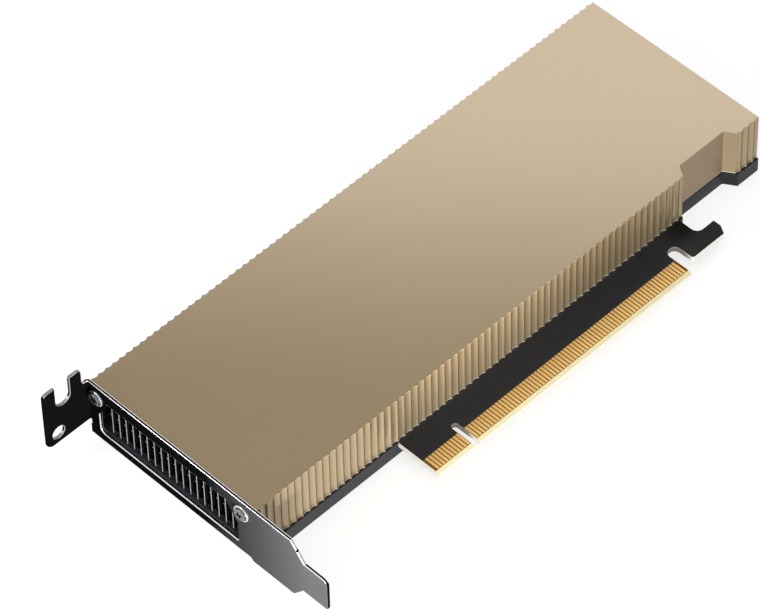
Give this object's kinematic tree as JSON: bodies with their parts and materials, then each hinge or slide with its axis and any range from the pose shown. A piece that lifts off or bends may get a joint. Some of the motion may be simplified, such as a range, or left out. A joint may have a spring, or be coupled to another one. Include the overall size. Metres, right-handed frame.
{
  "type": "passive accelerator card",
  "caption": "Low-profile expansion card with a fluted metal cover over a fin stack, a vented bracket, an edge connector and a retention hook, cooled by the airflow of its server.",
  "frame": {"origin": "centre of the key notch, on the connector edge, in the plane of the board's component side", "axes": "+X from the bracket to the rear of the card, +Y away from the connector edge, +Z off the component side"},
  "size_m": [0.182, 0.0792, 0.0248],
  "materials": {
    "board": "glossy black solder mask, pale at the cut edges",
    "contact_gold": "gold plated",
    "cover_finish": "champagne satin",
    "black_screw": "black oxide",
    "bracket_finish": "dark polished nickel",
    "bright_screw": "bright nickel",
    "backplate_finish": "dark grey anodised satin",
    "film": "matt black",
    "fin_metal": "dark satin",
    "spreader_metal": "bare copper",
    "plain_steel": "plain steel",
    "substrate": "green laminate",
    "silicon": "polished silicon",
    "paste": "grey paste",
    "chip": "matt moulded",
    "pad": "soft matt",
    "inductor_body": "pressed powder",
    "capacitor_body": "matt moulded",
    "fuse_body": "ceramic",
    "ceramic": "fired ceramic"
  },
  "bodies": {
    "root": {"circuit_board": "board", "contacts_component_side": "contact_gold", "contacts_solder_side": "contact_gold", "cover": "cover_finish", "cover_screws": "black_screw", "bracket": "bracket_finish", "bracket_tab": "bracket_finish", "bracket_screws": "bright_screw", "backplate": "backplate_finish", "insulating_film": "film", "fin_stack": "fin_metal", "heat_spreader": "spreader_metal", "spreader_screws": "bright_screw", "processor_substrate": "substrate", "processor_die": "silicon", "thermal_paste": "paste", "stiffener_ring": "plain_steel", "memory_chips": "chip", "memory_pads": "pad", "memory_chips_underside": "chip", "memory_pads_underside": "pad", "power_inductors": "inductor_body", "power_stages": "chip", "power_stage_pads": "pad", "bulk_capacitors": "capacitor_body", "input_inductor": "inductor_body", "fuse": "fuse_body", "power_controller": "chip", "management_chip": "chip", "flash_chip": "chip", "crystal": "plain_steel", "ceramic_capacitors": "ceramic", "underside_capacitors": "ceramic"}
  },
  "joints": []
}
